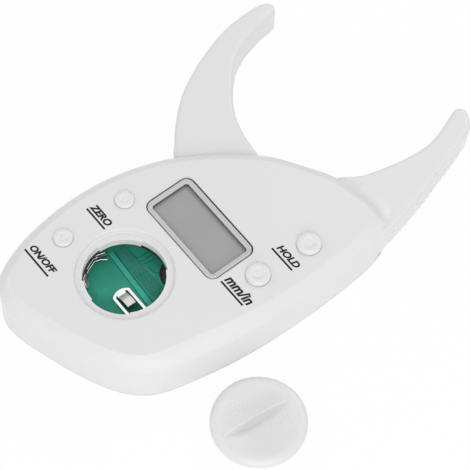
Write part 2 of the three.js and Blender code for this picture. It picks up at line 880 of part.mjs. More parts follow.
function batteryCap() {
  const skirtHeight = seatLip + capLug + seatGap;
  const top = skirtHeight + capThickness;
  const skirtRadius = batteryHole - capGap;
  const dishRadius = capRadius - capEdgeRun - dishRim;
  const dishSphere = (dishRadius ** 2 + dishDepth ** 2) / (2 * dishDepth);
  const halfAngle = THREE.MathUtils.radToDeg(Math.asin(dishRadius / dishSphere));
  const edge = arc(at(0, 0), 1, 0, 90).map((point) =>
    at(capRadius - capEdgeRun * (1 - point.x), top - capEdgeDrop * (1 - point.y)),
  );
  const disc = revolve(cap, [at(0, skirtHeight), at(capRadius, skirtHeight), ...edge, at(0, top)], fineSteps);
  const dish = revolve(
    cap,
    [
      ...arc(at(0, top - dishDepth + dishSphere), dishSphere, 270, 270 + halfAngle),
      at(dishRadius, top + overrun),
      at(0, top + overrun),
    ],
    fineSteps,
  );
  const skirt = cut(
    post(cap, skirtRadius, 0, skirtHeight + seatGap, fineSteps),
    post(cap, skirtRadius - capSkirt, 0 - overrun, skirtHeight - capCeiling, fineSteps),
  );
  return join(cut(disc, dish), capRidge(top, dishRadius), skirt, ...capLugs(skirtRadius));
}

// Fasteners, seen from below: a flat head and a plain shank
function screw(centre, headBottom, reach) {
  const headTop = headBottom + screwHeadHeight;
  return join(
    post(centre, screwHead, headBottom, headTop, smallSteps),
    post(centre, screwShank, headBottom + screwHeadHeight / 2, headTop + reach, smallSteps),
  );
}

function pivotScrew() {
  const underHead = bladeTop + runningGap + seatGap + washerThickness + seatGap;
  return join(
    post(pivot, screwShank, underHead - pivotScrewReach + washerThickness, underHead + seatGap, smallSteps),
    post(pivot, screwHead, underHead, underHead + screwHeadHeight, smallSteps),
  );
}

function pivotWasher() {
  const bottom = bladeTop + runningGap + seatGap;
  return cut(
    post(pivot, collarRadius, bottom, bottom + washerThickness),
    post(pivot, screwShank + holeGap, bottom - overrun, bottom + overrun, smallSteps),
  );
}

addPart("upper_housing", upperHousing(), shellWhite);
addPart("lower_housing", lowerHousing(), shellWhite);
addPart("moving_jaw", movingJaw(), shellWhite);
addPart("scale_plate", scalePlate(), boardGreen);
addPart("pivot_screw", pivotScrew(), screwSteel);
addPart("pivot_washer", pivotWasher(), screwSteel);
addPart("display_bezel", bezel(), bezelGrey);
addPart("display_panel", displayPanel(), displayGrey);
addPart("zebra_strip_upper", zebraStrip(1), zebraPink);
addPart("zebra_strip_lower", zebraStrip(-1), zebraPink);
addPart("main_board", board(), boardGreen);
addPart("chip_blob", chipBlob(), blackResin);
addPart("contact_negative", negativeContact(), brightMetal);
addPart("contact_positive", positiveContact(), brightMetal);
addPart("battery_cap", batteryCap(), shellWhite);
for (const button of buttons) {
  addPart(`button_${button.name}`, buttonCap(button), shellWhite);
  addPart(`plunger_${button.name}`, switchPlunger(button), blackResin);
  addPart(`switch_${button.name}`, switchBody(button), brightMetal);
}
housingScrews.forEach((centre, i) => {
  addPart(`housing_screw_${i + 1}`, screw(centre, screwRecess, screwReach), screwSteel);
});
boardScrews.forEach((centre, i) => {
  const headBottom = boardBottom - seatGap - screwHeadHeight;
  addPart(`board_screw_${i + 1}`, screw(centre, headBottom, boardScrewReach), screwSteel);
});

export default group;
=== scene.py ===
import math

import bmesh
import bpy
from mathutils import Matrix, Vector


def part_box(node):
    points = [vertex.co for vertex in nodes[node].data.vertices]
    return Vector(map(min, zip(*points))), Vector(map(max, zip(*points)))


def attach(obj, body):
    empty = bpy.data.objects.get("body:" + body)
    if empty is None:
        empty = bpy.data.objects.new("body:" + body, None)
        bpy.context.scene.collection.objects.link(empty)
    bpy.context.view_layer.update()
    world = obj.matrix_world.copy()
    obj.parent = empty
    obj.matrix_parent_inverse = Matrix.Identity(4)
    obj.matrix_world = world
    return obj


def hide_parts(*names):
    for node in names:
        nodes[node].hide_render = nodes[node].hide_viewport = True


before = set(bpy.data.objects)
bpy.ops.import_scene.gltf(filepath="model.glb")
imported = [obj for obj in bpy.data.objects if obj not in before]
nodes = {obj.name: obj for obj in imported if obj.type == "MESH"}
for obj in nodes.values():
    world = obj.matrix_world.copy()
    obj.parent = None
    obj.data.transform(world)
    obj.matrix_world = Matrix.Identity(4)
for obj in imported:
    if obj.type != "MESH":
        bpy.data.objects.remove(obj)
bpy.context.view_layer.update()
mm = 0.001
print("frame loaded:", len(nodes), "nodes")


# selecting, modifiers and small mesh steps
def deselectAll():
    bpy.ops.object.select_all(action="DESELECT")


def pick(piece):
    deselectAll()
    piece.select_set(True)
    bpy.context.view_layer.objects.active = piece


def applyModifier(piece, kind, **settings):
    pick(piece)
    modifier = piece.modifiers.new(kind.title(), kind)
    for key, value in settings.items():
        setattr(modifier, key, value)
    bpy.ops.object.modifier_apply(modifier=modifier.name)


def applyPlace(piece):
    pick(piece)
    bpy.ops.object.transform_apply(location=True, rotation=True, scale=True)


def smooth(piece, angle=40):
    pick(piece)
    bpy.ops.object.shade_smooth_by_angle(angle=math.radians(angle))


def bar(middle, size, turn=0.0):
    deselectAll()
    bpy.ops.mesh.primitive_cube_add(size=1, location=middle, rotation=(0, 0, turn), scale=size)
    piece = bpy.context.object
    applyPlace(piece)
    return piece


def give(piece, name, material, body, slot, *replaced):
    piece.name = name
    piece.data.name = name
    piece.data.materials.clear()
    piece.data.materials.append(material)
    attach(piece, body)
    if replaced:
        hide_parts(*replaced)
    return piece


def within(value, low, high):
    return min(max(value, low), high)


def eased(share):
    return (1 - math.cos(math.pi * share)) / 2


# shader building: a small set of steps that every finish shares
def newMaterial(name):
    material = bpy.data.materials.new(name)
    material.use_nodes = True
    tree = material.node_tree
    shader = tree.nodes["Principled BSDF"]
    return material, tree, shader


def addNode(tree, kind, links=(), **settings):
    node = tree.nodes.new(kind)
    for key, value in settings.items():
        if key in node.inputs:
            node.inputs[key].default_value = value
        else:
            setattr(node, key, value)
    for source, socket in links:
        tree.links.new(source, node.inputs[socket])
    return node


def objectPlace(tree):
    return addNode(tree, "ShaderNodeTexCoord").outputs["Object"]


def stretched(tree, place, stretch, turn=0.0):
    mapping = addNode(
        tree, "ShaderNodeMapping", [(place, "Vector")], Rotation=(0, 0, turn), Scale=stretch,
    )
    return mapping.outputs["Vector"]


def noise(tree, place, scale, detail=3.0, roughness=0.5):
    texture = addNode(
        tree, "ShaderNodeTexNoise", [(place, "Vector")],
        Scale=scale, Detail=detail, Roughness=roughness,
    )
    return texture.outputs["Fac"]


def between(tree, value, low=0.0, high=1.0, fromLow=0.3, fromHigh=0.7):
    ends = {"From Min": fromLow, "From Max": fromHigh, "To Min": low, "To Max": high}
    return addNode(tree, "ShaderNodeMapRange", [(value, "Value")], **ends).outputs["Result"]


def around(tree, value, middle, spread):
    return between(tree, value, middle - spread, middle + spread)


def product(tree, *factors):
    result = factors[0]
    for factor in factors[1:]:
        links = [(result, 0), (factor, 1)]
        result = addNode(tree, "ShaderNodeMath", links, operation="MULTIPLY").outputs[0]
    return result


def measured(tree, place, direction):
    node = addNode(tree, "ShaderNodeVectorMath", [(place, 0)], operation="DOT_PRODUCT")
    node.inputs[1].default_value = direction
    return node.outputs["Value"]


def blendColours(tree, share, first, second):
    node = addNode(tree, "ShaderNodeMix", data_type="RGBA")
    tree.links.new(share, node.inputs["Factor"])
    for value, socket in ((first, "A"), (second, "B")):
        target = next(
            entry for entry in node.inputs if entry.name == socket and entry.type == "RGBA"
        )
        if isinstance(value, (tuple, list)):
            target.default_value = (*value, 1.0)
        else:
            tree.links.new(value, target)
    return next(entry for entry in node.outputs if entry.type == "RGBA")


def bump(tree, height, strength, distance):
    links = [(height, "Height")]
    node = addNode(tree, "ShaderNodeBump", links, Strength=strength, Distance=distance)
    return node.outputs["Normal"]


def feed(tree, shader, colour, roughness, normal=None):
    tree.links.new(colour, shader.inputs["Base Color"])
    tree.links.new(roughness, shader.inputs["Roughness"])
    if normal:
        tree.links.new(normal, shader.inputs["Normal"])


def shade(colour, factor):
    return tuple(min(channel * factor, 1.0) for channel in colour)


# moulded plastic: a cloudy tone, fine grain and a gloss that varies a little
plasticLook = {
    "clouds": (30, 1.0), "grainDetail": 2.0, "grainRoughness": 0.6, "grainDepth": 0.02 * mm,
    "glossSpread": 0.03, "ior": 1.48,
}
shellFinish = {
    "colour": (0.766, 0.766, 0.766), "roughness": 0.3, "tone": 0.006, "grain": 5200, "dent": 0.04,
}
# painted light for the battery well's wall: a paler, pinker white than the shell's
wellPaintedLightFinish = {
    "colour": (0.950, 0.905, 0.905), "roughness": 0.34, "tone": 0.006, "grain": 5200, "dent": 0.04,
}
buttonFinish = {
    "colour": (0.779, 0.779, 0.779), "roughness": 0.26, "tone": 0.006, "grain": 6500, "dent": 0.03,
}
bezelFinish = {
    "colour": (0.578, 0.580, 0.583), "roughness": 0.34, "tone": 0.01, "grain": 6000, "dent": 0.04,
}

# the cap's finger ridge, and the painted shade in the dip of the dish below it: the shade's extent
# is measured across the ridge, where it comes in over the first run and fades over the second, and
# its ends along the ridge
ridge = {
    "middle": Vector((44.46, -17.38)), "turn": math.radians(-6.1), "tone": (0.655, 0.655, 0.655),
    "comesIn": (0.05, 0.35), "fades": (0.7, 2.3), "ends": (3.5, 9.4),
}
ridgeAcross = Vector((math.cos(ridge["turn"]), math.sin(ridge["turn"])))
ridgeAlong = Vector((-math.sin(ridge["turn"]), math.cos(ridge["turn"])))


# painted shade: the cap's white is darkened on the near side of its finger ridge
def ridgePaintedShade(tree, place, base):
    across = measured(tree, place, (*ridgeAcross, 0))
    along = measured(tree, place, (*ridgeAlong, 0))
    offset = ridgeAcross.dot(ridge["middle"])
    start = ridgeAlong.dot(ridge["middle"])
    near, full = ridge["comesIn"]
    fading, gone = ridge["fades"]
    inner, outer = ridge["ends"]
    share = product(
        tree,
        between(tree, across, 0.0, 1.0, (offset + near) * mm, (offset + full) * mm),
        between(tree, across, 1.0, 0.0, (offset + fading) * mm, (offset + gone) * mm),
        between(tree, along, 0.0, 1.0, (start - outer) * mm, (start - inner) * mm),
        between(tree, along, 1.0, 0.0, (start + inner) * mm, (start + outer) * mm),
    )
    return blendColours(tree, share, base, ridge["tone"])


def plastic(name, finish, paintedShade=None):
    look, tone = plasticLook, finish["tone"]
    material, tree, shader = newMaterial(name)
    place = objectPlace(tree)
    clouds = noise(tree, place, *look["clouds"])
    grain = noise(tree, place, finish["grain"], look["grainDetail"], look["grainRoughness"])
    low, high = shade(finish["colour"], 1 - tone), shade(finish["colour"], 1 + tone)
    base = blendColours(tree, between(tree, clouds), low, high)
    # a painted shade, where the finish is given one
    if paintedShade:
        base = paintedShade(tree, place, base)
    gloss = around(tree, clouds, finish["roughness"], look["glossSpread"])
    feed(tree, shader, base, gloss, bump(tree, grain, finish["dent"], look["grainDepth"]))
    shader.inputs["IOR"].default_value = look["ior"]
    return material


# printed legends: dense black ink with a slightly broken gloss
inkLook = {
    "low": (0.006, 0.006, 0.007), "high": (0.016, 0.016, 0.018), "specks": (7000, 3.0, 0.6),
    "roughness": (0.5, 0.65), "specular": 0.15,
}


def inkFinish():
    material, tree, shader = newMaterial("legendInk")
    specks = noise(tree, objectPlace(tree), *inkLook["specks"])
    base = blendColours(tree, between(tree, specks), inkLook["low"], inkLook["high"])
    feed(tree, shader, base, between(tree, specks, *inkLook["roughness"]))
    shader.inputs["Specular IOR Level"].default_value = inkLook["specular"]
    return material


# display: a pale grey cell under a clear film, with the faint weave of its polariser, and a painted
# shade along its left and head edges, where the frame would shade it
displayLook = {
    "low": (0.322, 0.326, 0.322), "high": (0.338, 0.342, 0.338), "cloud": (0.352, 0.356, 0.35),
    "edge": (0.12, 0.122, 0.12), "left": -12.1 * mm, "head": 5.5 * mm, "run": 1.3 * mm, "ease": 0.5,
    "weave": (500, 2.0), "weaveStretch": (1, 14, 1), "weaveTurn": math.radians(45),
    "clouds": (90, 1.0), "cloudFull": 0.35, "roughness": (0.36, 0.46),
    "coat": 0.35, "coatRoughness": 0.12,
}


def displayFinish():
    look = displayLook
    material, tree, shader = newMaterial("displayFilm")
    place = objectPlace(tree)
    film = stretched(tree, place, look["weaveStretch"], look["weaveTurn"])
    streaks = noise(tree, film, *look["weave"])
    clouds = noise(tree, place, *look["clouds"])
    fine = blendColours(tree, between(tree, streaks), look["low"], look["high"])
    base = blendColours(tree, between(tree, clouds, 0.0, look["cloudFull"]), fine, look["cloud"])
    # painted shade: the cell is darkened towards its left and head edges
    corner = addNode(tree, "ShaderNodeSeparateXYZ", [(place, "Vector")])
    left = between(tree, corner.outputs["X"], 0.0, 1.0, look["left"], look["left"] + look["run"])
    head = between(tree, corner.outputs["Y"], 0.0, 1.0, look["head"], look["head"] - look["run"])
    inside = addNode(tree, "ShaderNodeMath", [(product(tree, left, head), 0)], operation="POWER")
    inside.inputs[1].default_value = look["ease"]
    base = blendColours(tree, inside.outputs[0], look["edge"], base)
    feed(tree, shader, base, between(tree, clouds, *look["roughness"]))
    shader.inputs["Coat Weight"].default_value = look["coat"]
    shader.inputs["Coat Roughness"].default_value = look["coatRoughness"]
    return material


# circuit board: green mask over copper, with a paler tone where copper lies beneath
boardTones = {
    "bare": (0.030, 0.300, 0.205), "copper": (0.044, 0.385, 0.285), "raised": (0.070, 0.590, 0.450),
    "gap": (0.002, 0.060, 0.040), "groove": (0.003, 0.110, 0.072), "mark": (0.130, 0.500, 0.400),
    "ground": (0.050, 0.360, 0.270), "groundHigh": (0.090, 0.420, 0.330),
    "groundLow": (0.014, 0.235, 0.165),
}
maskLook = {
    "clouds": (160, 3.0), "weaveDetail": 2.0, "dent": 0.12, "depth": 0.03 * mm,
    "roughness": (0.3, 0.46), "specular": 0.2,
}


def maskFinish(name, low, high, weaveScale=4000):
    look = maskLook
    material, tree, shader = newMaterial(name)
    place = objectPlace(tree)
    clouds = noise(tree, place, *look["clouds"])
    weave = noise(tree, place, weaveScale, look["weaveDetail"])
    base = blendColours(tree, between(tree, clouds), boardTones[low], boardTones[high])
    gloss = between(tree, weave, *look["roughness"])
    feed(tree, shader, base, gloss, bump(tree, weave, look["dent"], look["depth"]))
    shader.inputs["Specular IOR Level"].default_value = look["specular"]
    return material


# metals: drawn steel and nickel plate with fine lines along the piece
metalLook = {
    "lines": (4.0, 0.6), "tones": (0.93, 1.05), "glossSpread": 0.08,
    "dent": 0.08, "depth": 0.02 * mm,
}


def metal(name, colour, roughness, stretch, scale):
    look = metalLook
    material, tree, shader = newMaterial(name)
    lines = noise(tree, stretched(tree, objectPlace(tree), stretch), scale, *look["lines"])
    low, high = (shade(colour, factor) for factor in look["tones"])
    base = blendColours(tree, between(tree, lines), low, high)
    gloss = around(tree, lines, roughness, look["glossSpread"])
    feed(tree, shader, base, gloss, bump(tree, lines, look["dent"], look["depth"]))
    shader.inputs["Metallic"].default_value = 1.0
    return material


# rubber and resin: a dull, finely grained black, grey or pink
softLook = {"grains": (3.0, 0.6), "glossSpread": 0.06, "dent": 0.1, "depth": 0.03 * mm}


def softFinish(name, low, high, roughness, scale):
    look = softLook
    material, tree, shader = newMaterial(name)
    grains = noise(tree, objectPlace(tree), scale, *look["grains"])
    base = blendColours(tree, between(tree, grains), low, high)
    gloss = around(tree, grains, roughness, look["glossSpread"])
    feed(tree, shader, base, gloss, bump(tree, grains, look["dent"], look["depth"]))
    return material


shellWhite = plastic("shellWhite", shellFinish)
# the cap's white carries the painted shade beside its finger ridge
capWhite = plastic("capWhite", shellFinish, ridgePaintedShade)
wellPaintedLight = plastic("wellPaintedLight", wellPaintedLightFinish)
buttonWhite = plastic("buttonWhite", buttonFinish)
bezelGrey = plastic("bezelGrey", bezelFinish)
legendInk = inkFinish()
displayFilm = displayFinish()
boardMask = maskFinish("boardMask", "bare", "copper")
traceMask = maskFinish("traceMask", "copper", "raised")
# dark gaps between the copper, and the painted shadow under the contact plate
gapAndShadowMask = maskFinish("gapAndShadowMask", "gap", "groove")
groundBase = maskFinish("groundBase", "groove", "groundLow")
groundMask = maskFinish("groundMask", "ground", "groundHigh")
markInk = maskFinish("markInk", "copper", "mark", 6000)
nickelPlate = metal("nickelPlate", (0.92, 0.94, 0.93), 0.28, (0.2, 1, 1), 500)
# painted shade: a darker, pinker copy of the nickel plate for the contact's tongue
tongueShadePlate = metal("tongueShadePlate", (0.66, 0.61, 0.60), 0.36, (0.2, 1, 1), 500)
# painted shade: the positive clip's steel, darkened as it lies under the well's rim
clipShadeSteel = metal("clipShadeSteel", (0.25, 0.24, 0.24), 0.42, (1, 1, 0.2), 700)
wireSteel = metal("wireSteel", (0.97, 0.97, 0.96), 0.3, (1, 1, 0.2), 700)
screwSteel = metal("screwSteel", (0.62, 0.62, 0.64), 0.34, (1, 1, 6), 1200)
zebraRubber = softFinish("zebraRubber", (0.60, 0.36, 0.39), (0.68, 0.43, 0.45), 0.62, 2500)
# painted shade: the dark ring in the gap round the display bezel
gapShadeGrey = softFinish("gapShadeGrey", (0.035, 0.035, 0.037), (0.055, 0.055, 0.057), 0.6, 3000)
blackResin = softFinish("blackResin", (0.008, 0.008, 0.009), (0.02, 0.02, 0.021), 0.42, 3000)
print("finishes ready")


# finer copies of the moulded nodes: merged, with their edges rounded as a mould leaves them
weld = {"near": 0.02 * mm, "flat": math.radians(0.6)}
rounding = {"segments": 3, "from": math.radians(22), "smooth": 36, "weight": 50}


def mergedCopy(node):
    piece = nodes[node].copy()
    piece.data = nodes[node].data.copy()
    bpy.context.scene.collection.objects.link(piece)
    piece.parent = None
    pick(piece)
    if piece.data.has_custom_normals:
        bpy.ops.mesh.customdata_custom_splitnormals_clear()
    bpy.ops.object.mode_set(mode="EDIT")
    bpy.ops.mesh.select_all(action="SELECT")
    bpy.ops.mesh.remove_doubles(threshold=weld["near"])
    bpy.ops.mesh.dissolve_degenerate(threshold=weld["near"])
    bpy.ops.mesh.dissolve_limited(angle_limit=weld["flat"])
    bpy.ops.object.mode_set(mode="OBJECT")
    return piece


def softened(piece, width, segments, wanted):
    pick(piece)
    bpy.ops.object.mode_set(mode="EDIT")
    bpy.ops.mesh.select_mode(type="EDGE")
    bpy.ops.mesh.select_all(action="DESELECT")
    shape = bmesh.from_edit_mesh(piece.data)
    for edge in shape.edges:
        edge.select = wanted(edge)
    bmesh.update_edit_mesh(piece.data)
    bpy.ops.mesh.bevel(offset=width * mm, segments=segments, affect="EDGES", clamp_overlap=True)
    bpy.ops.mesh.select_mode(type="VERT")
    bpy.ops.object.mode_set(mode="OBJECT")


def refined(
    node, body, slot, material, edge, segments=rounding["segments"], soften=(), reshape=None,
):
    piece = mergedCopy(node)
    if reshape:
        reshape(piece)
    for width, steps, wanted in soften:
        softened(piece, width, steps, wanted)
    applyModifier(
        piece, "BEVEL", width=edge * mm, segments=segments, limit_method="ANGLE",
        angle_limit=rounding["from"], use_clamp_overlap=True, miter_outer="MITER_SHARP",
    )
    smooth(piece, rounding["smooth"])
    applyModifier(piece, "WEIGHTED_NORMAL", weight=rounding["weight"], keep_sharp=True)
    return give(piece, node + "_finish", material, body, slot, node)


# the seat's foot gets a fillet, and the crease between the cover's plane and its bevelled rim a
# wide round, which stays clear of the seat
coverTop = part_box("upper_housing")[1].z
seat = {
    "centre": Vector((-1.14, -22.05)) * mm, "radius": 12.1 * mm, "floor": 14.8 * mm,
    "near": 0.06 * mm, "clear": 13.6 * mm,
}
crease = {"near": 0.005 * mm, "least": 8, "most": 50}


def seatFoot(edge):
    return all(
        abs(corner.co.z - seat["floor"]) < seat["near"]
        and abs((corner.co.xy - seat["centre"]).length - seat["radius"]) < seat["near"]
        for corner in edge.verts
    )


def coverCrease(edge):
    high = all(abs(corner.co.z - coverTop) < crease["near"] for corner in edge.verts)
    clear = all((corner.co.xy - seat["centre"]).length > seat["clear"] for corner in edge.verts)
    if not (high and clear and edge.is_manifold):
        return False
    return crease["least"] < math.degrees(edge.calc_face_angle()) < crease["most"]


# the fixed jaw's outer wall leans in below its head ring, and its ribs are lower than in the solid
grip = {
    "ring": 11.9 * mm, "ringFrom": 34.0 * mm, "near": 0.05 * mm, "from": 36.0 * mm, "to": 73.9 * mm,
    "left": 16.5 * mm, "foot": 4.15 * mm, "skin": 1.0 * mm, "kept": 0.3, "lean": 0.05,
}


def onGripWall(corner):
    below = corner.z <= grip["ring"] - grip["near"]
    return below and grip["from"] < corner.y < grip["to"] and corner.x >= grip["left"]


def gripWall(piece):
    corners = [vertex.co for vertex in piece.data.vertices]
    ring = sorted(
        (
            corner.xy for corner in corners
            if abs(corner.z - grip["ring"]) < grip["near"]
            and corner.x > grip["left"] and corner.y > grip["ringFrom"]
        ),
        key=lambda spot: spot.y,
    )
    for corner in filter(onGripWall, corners):
        low, high = next((a, b) for a, b in zip(ring, ring[1:]) if b.y >= corner.y)
        run = (high - low).normalized()
        out = Vector((run.y, -run.x))
        stand = out.dot(corner.xy - low)
        if stand < -grip["skin"] or (corner.z > grip["foot"] and stand < -grip["near"]):
            continue
        drop = grip["ring"] - max(corner.z, grip["foot"])
        shift = -max(stand, 0.0) * (1 - grip["kept"]) - drop * grip["lean"]
        corner.x += out.x * shift
        corner.y += out.y * shift
    piece.data.update()


# the moving jaw's tip swells a little between its foot and its top
tip = {
    "middle": Vector((-41.0, 56.2)) * mm, "reach": 2.6 * mm, "by": Vector((0.2, 0.3)) * mm,
    "low": 3.4 * mm, "high": 13.2 * mm,
}


def jawTip(piece):
    for vertex in piece.data.vertices:
        corner = vertex.co
        near = math.exp(-((corner.xy - tip["middle"]).length / tip["reach"]) ** 2)
        rise = within((corner.z - tip["low"]) / (tip["high"] - tip["low"]), 0.0, 1.0)
        belly = math.sqrt(math.sin(math.pi * rise))
        corner.x += tip["by"].x * near * belly
        corner.y += tip["by"].y * near * belly
    piece.data.update()


mouldedNodes = {
    "upper_housing": {
        "body": "housing", "edge": 0.22, "reshape": gripWall,
        "soften": ((0.38, 5, seatFoot), (0.2, 2, coverCrease)),
    },
    "lower_housing": {"body": "housing", "edge": 0.12},
    "moving_jaw": {"body": "jaw", "edge": 0.2, "reshape": jawTip},
    "battery_cap": {"body": "cap", "edge": 0.12, "finish": capWhite},
}
for node, choice in mouldedNodes.items():
    refined(
        node, choice["body"], "shell_white", choice.get("finish", shellWhite), choice["edge"],
        soften=choice.get("soften", ()), reshape=choice.get("reshape"),
    )

# where the fixed jaw leaves the housing, a soft fillet lies over the crease: a grid takes its
# height from the housing's finish, is evened out over a small disc, and keeps only what stands
# over the solid
rootFillet = {
    "middle": (19.5, 37.5), "size": (19.0, 12.0), "cells": (76, 48), "disc": 15, "above": 30.0,
    "lowest": 11.5, "over": 13.15, "least": 0.004, "sink": 0.03, "skin": 0.2,
}


def rootSpot(row, column):
    wide, deep = rootFillet["cells"]
    x = rootFillet["middle"][0] + (column / wide - 0.5) * rootFillet["size"][0]
    y = rootFillet["middle"][1] + (row / deep - 0.5) * rootFillet["size"][1]
    return x, y


def rootHeights(finish):
    wide, deep = rootFillet["cells"]
    lowest = rootFillet["lowest"]
    heights = []
    for row in range(deep + 1):
        line = []
        for column in range(wide + 1):
            start = Vector((*rootSpot(row, column), rootFillet["above"])) * mm
            hit, place, _, _ = finish.ray_cast(start, Vector((0, 0, -1)))
            line.append(max(place.z / mm, lowest) if hit else lowest)
        heights.append(line)
    return heights


def evened(heights, row, column):
    disc = rootFillet["disc"]
    total = weight = 0.0
    for down in range(-disc, disc + 1):
        for across in range(-disc, disc + 1):
            share = 1 - (down ** 2 + across ** 2) / (disc + 0.5) ** 2
            if share <= 0:
                continue
            near = heights[within(row + down, 0, len(heights) - 1)]
            total += share * near[within(column + across, 0, len(near) - 1)]
            weight += share
    return total / weight


def jawRootFillet(finish):
    wide, deep = rootFillet["cells"]
    heights = rootHeights(finish)
    deselectAll()
    bpy.ops.mesh.primitive_grid_add(x_subdivisions=wide, y_subdivisions=deep, size=2)
    piece = bpy.context.object
    raised, solid = set(), set()
    for vertex in piece.data.vertices:
        column = round((vertex.co.x + 1) / 2 * wide)
        row = round((vertex.co.y + 1) / 2 * deep)
        below = heights[row][column]
        height = evened(heights, row, column)
        if below >= rootFillet["over"]:
            solid.add(vertex.index)
        if height > below + rootFillet["least"]:
            raised.add(vertex.index)
        else:
            height = below - rootFillet["sink"]
        vertex.co = Vector((*rootSpot(row, column), height)) * mm
    shape = bmesh.new()
    shape.from_mesh(piece.data)
    hidden = []
    for face in shape.faces:
        corners = {corner.index for corner in face.verts}
        if not corners <= solid or not corners & raised:
            hidden.append(face)
    bmesh.ops.delete(shape, geom=hidden, context="FACES")
    shape.to_mesh(piece.data)
    shape.free()
    applyModifier(piece, "SOLIDIFY", thickness=rootFillet["skin"] * mm, offset=-1)
    smooth(piece)
    return give(piece, "jaw_root_fillet", shellWhite, "housing", "shell_white")


# painted light: the wall of the battery well is paler and pinker than the grained cover
wellWall = {"radius": 10.9 * mm, "low": 11.0 * mm, "high": 14.7 * mm, "steep": 0.5}


def onWellWall(face):
    near = (face.center.xy - seat["centre"]).length < wellWall["radius"]
    level = wellWall["low"] < face.center.z < wellWall["high"]
    return near and level and abs(face.normal.z) < wellWall["steep"]


housingFinish = bpy.data.objects["upper_housing_finish"]
housingFinish.data.materials.append(wellPaintedLight)
for face in housingFinish.data.polygons:
    if onWellWall(face):
        face.material_index = 1
jawRootFillet(housingFinish)
print("moulded pieces ready")

# display bezel, and a dark ring in the gap around it that stands in for the gap's shade: a rounded
# plate drawn up ring by ring, each with its step inwards and its height; the bezel's undercut
# widens the window again below the lip
bezelShape = {
    "half": (14.0, 7.5), "corner": 2.7, "foot": 13.35,
    "rings": [
        (0.0, 13.95), (0.7, 13.95), (0.0, 16.14), (0.03, 16.26), (0.07, 16.35), (0.1, 16.4),
        (0.2, 16.4), (0.06, 16.36), (0.05, 16.18), (0.08, 16.12), (0.45, 16.1), (0.12, 16.05),
        (0.07, 15.97), (0.02, 15.88),
    ],
    "undercut": (0.62, 15.86), "shift": (0.09, -0.13),
}
gapShadeShape = {
    "half": (13.68, 7.18), "corner": 2.35, "foot": 14.0,
    "rings": [(0.0, 15.5), (0.06, 15.56), (0.3, 15.56)],
    "undercut": (0.0, 15.5), "shift": (0, 0),
}
cornerSteps = 10


def faceTo(step, rise):
    if step > 0:
        bpy.ops.mesh.inset(thickness=step * mm, depth=0, use_even_offset=True)
        bpy.ops.transform.translate(value=(0, 0, rise * mm))
    else:
        bpy.ops.mesh.extrude_region_move(TRANSFORM_OT_translate={"value": (0, 0, rise * mm)})


def closeRing():
    bpy.ops.mesh.select_all(action="DESELECT")
    bpy.ops.mesh.select_face_by_sides(number=4, type="GREATER")
    bpy.ops.mesh.delete(type="ONLY_FACE")
    bpy.ops.mesh.select_mode(type="EDGE")
    bpy.ops.mesh.select_all(action="DESELECT")
    bpy.ops.mesh.select_non_manifold()
    bpy.ops.mesh.bridge_edge_loops()
    bpy.ops.mesh.select_all(action="SELECT")
    bpy.ops.mesh.normals_make_consistent(inside=False)
    bpy.ops.mesh.select_mode(type="VERT")


def frameRing(shape):
    shift = [value * mm for value in shape["shift"]]
    deselectAll()
    bpy.ops.mesh.primitive_plane_add(size=2)
    piece = bpy.context.object
    piece.scale = (shape["half"][0] * mm, shape["half"][1] * mm, 1)
    piece.location = (*shift, shape["foot"] * mm)
    applyPlace(piece)
    bpy.ops.object.mode_set(mode="EDIT")
    bpy.ops.mesh.select_all(action="SELECT")
    bpy.ops.mesh.bevel(offset=shape["corner"] * mm, segments=cornerSteps, affect="VERTICES")
    bpy.ops.mesh.select_all(action="SELECT")
    height = shape["foot"]
    for step, level in shape["rings"]:
        faceTo(step, level - height)
        height = level
    step, level = shape["undercut"]
    inwards = sum(ring[0] for ring in shape["rings"])
    spread = [(size - inwards + step) / (size - inwards) for size in shape["half"]]
    faceTo(0, level - height)
    bpy.ops.transform.resize(value=(*spread, 1), center_override=(*shift, level * mm))
    faceTo(0, shape["foot"] - level)
    closeRing()
    bpy.ops.object.mode_set(mode="OBJECT")
    smooth(piece)
    return piece


give(
    frameRing(bezelShape), "display_bezel_finish", bezelGrey, "housing", "bezel_grey",
    "display_bezel",
)
# painted shade: a dark ring filling the gap round the bezel
give(frameRing(gapShadeShape), "display_gap_shade", gapShadeGrey, "housing", "black_resin")
print("bezel ready")

# contacts: the negative plate's spring tongue takes a darker, pinker copy of the frame's nickel, a
# painted shade, and the positive clip's steel is painted dark, as shade under the well's rim
contactEdge, contactSteps = 0.06, 2
tongueBox = {"left": 0.2, "right": 7.0, "foot": -25.05, "head": -22.55}


def onTongue(piece, face):
    corners = [piece.data.vertices[index].co / mm for index in face.vertices]
    return all(
        tongueBox["left"] < corner.x < tongueBox["right"]
        and tongueBox["foot"] < corner.y < tongueBox["head"]
        for corner in corners
    )


plate = refined(
    "contact_negative", "housing", "bright_metal", nickelPlate, contactEdge, contactSteps,
)
plate.data.materials.append(tongueShadePlate)
for face in plate.data.polygons:
    face.material_index = 1 if onTongue(plate, face) else 0
refined("contact_positive", "housing", "bright_metal", clipShadeSteel, contactEdge, contactSteps)


# turned pieces: a disc drawn up and drawn in or out from point to point of a profile (radius,
# height)
def turnedPiece(centre, profile, sides=72):
    deselectAll()
    radius, height = profile[0]
    bpy.ops.mesh.primitive_circle_add(
        vertices=sides, radius=radius * mm, fill_type="NGON", location=(0, 0, height * mm),
    )
    piece = bpy.context.object
    bpy.ops.object.mode_set(mode="EDIT")
    bpy.ops.mesh.select_all(action="SELECT")
    for (before, low), (after, high) in zip(profile, profile[1:]):
        rise = (high - low) * mm
        bpy.ops.mesh.extrude_region_move(TRANSFORM_OT_translate={"value": (0, 0, rise)})
        share = after / before
        bpy.ops.transform.resize(value=(share, share, 1), center_override=(0, 0, high * mm))
    bpy.ops.mesh.select_all(action="SELECT")
    bpy.ops.mesh.normals_make_consistent(inside=False)
    bpy.ops.object.mode_set(mode="OBJECT")
    piece.location.x += centre.x
    piece.location.y += centre.y
    applyPlace(piece)
    return piece


